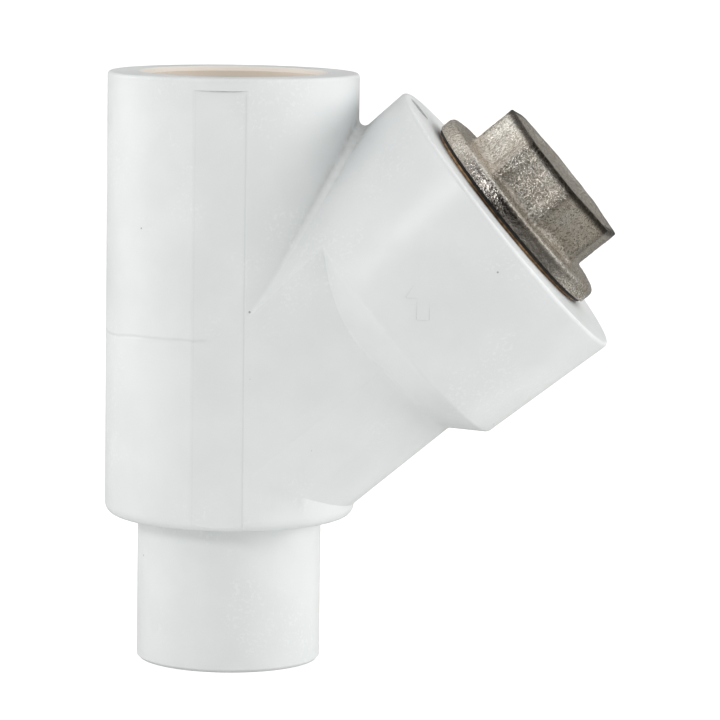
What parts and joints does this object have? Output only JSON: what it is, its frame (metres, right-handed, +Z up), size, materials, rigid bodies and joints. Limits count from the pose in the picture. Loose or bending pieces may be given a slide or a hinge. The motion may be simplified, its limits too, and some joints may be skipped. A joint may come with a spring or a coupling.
{
  "type": "y strainer",
  "caption": "Moulded Y strainer body with a socket above, a spigot below and an angled branch closed by a screw plug that holds a tubular screen.",
  "frame": {"origin": "centre of the spigot's end face, on the barrel's axis", "axes": "+Z up the barrel, out of the socket's mouth; +X towards the branch; -Y is the front"},
  "size_m": [0.0688, 0.0436, 0.08],
  "materials": {
    "white_plastic": "satin white injection-moulded polypropylene",
    "insert_metal": "turned brass with worn nickel plate",
    "plated_metal": "nickel plate over cast and shot-blasted brass",
    "black_rubber": "smooth black rubber",
    "stainless_sheet": "rolled stainless sheet",
    "stainless_wire": "woven stainless wire"
  },
  "bodies": {
    "root": {"body": "white_plastic", "thread_insert": "insert_metal"},
    "cartridge": {"plug_gasket": "black_rubber", "screen_support_tube": "stainless_sheet", "screen_mesh": "stainless_wire", "screen_seat_ring": "stainless_sheet", "screen_plug_ring": "stainless_sheet"},
    "plug": {"plug": "plated_metal"}
  },
  "joints": [
    {"name": "cartridge_withdrawal", "type": "slide", "parent": "root", "child": "cartridge", "axis": [0.766, 0, 0.6428], "range_m": [0, 0.05442]},
    {"name": "plug_turn", "type": "hinge", "parent": "cartridge", "child": "plug", "pos_m": [0, 0, 0.02975], "axis": [0.766, 0, 0.6428], "range_deg": [0, 10800]}
  ],
  "couplings": [
    {"joint": "cartridge_withdrawal", "follows": "plug_turn", "m_per_rad": 0.00028871}
  ]
}
